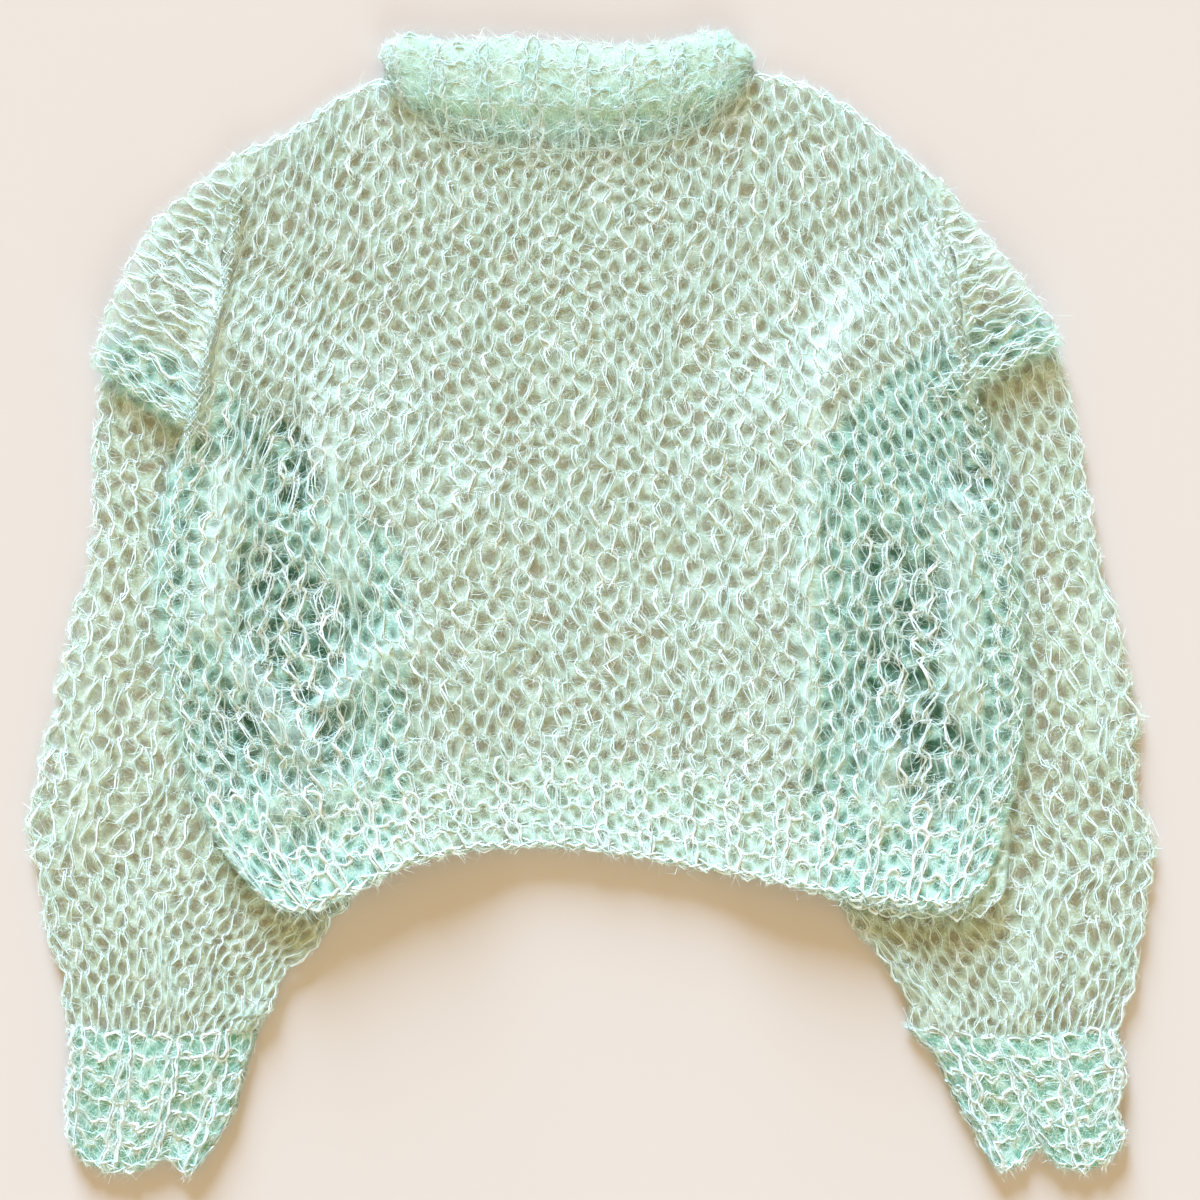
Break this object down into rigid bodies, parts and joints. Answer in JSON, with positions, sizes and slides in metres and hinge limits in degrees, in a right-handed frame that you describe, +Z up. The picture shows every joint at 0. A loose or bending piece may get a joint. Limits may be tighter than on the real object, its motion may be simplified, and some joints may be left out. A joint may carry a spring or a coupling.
{
  "type": "mohair sweater",
  "caption": "Cropped open-knit mohair pullover laid flat, balloon sleeves folded down under the body, ribbed neckband, hem and cuffs.",
  "frame": {"origin": "middle of the garment's outline seen from above, on the surface that it lies on", "axes": "+Z up from the surface through the cloth, +Y from the hem towards the neck, +X to the right seen from above"},
  "size_m": [0.7164, 0.7262, 0.0175],
  "materials": {
    "stocking_knit": "open stocking stitch in fluffy mint mohair",
    "rib_knit": "one by one rib in fluffy mint mohair"
  },
  "bodies": {
    "root": {"front": "stocking_knit", "back": "stocking_knit", "sleeve_left": "stocking_knit", "sleeve_right": "stocking_knit", "neckband": "rib_knit", "hem_front": "rib_knit", "hem_back": "rib_knit", "cuff_left": "rib_knit", "cuff_right": "rib_knit"}
  },
  "joints": []
}
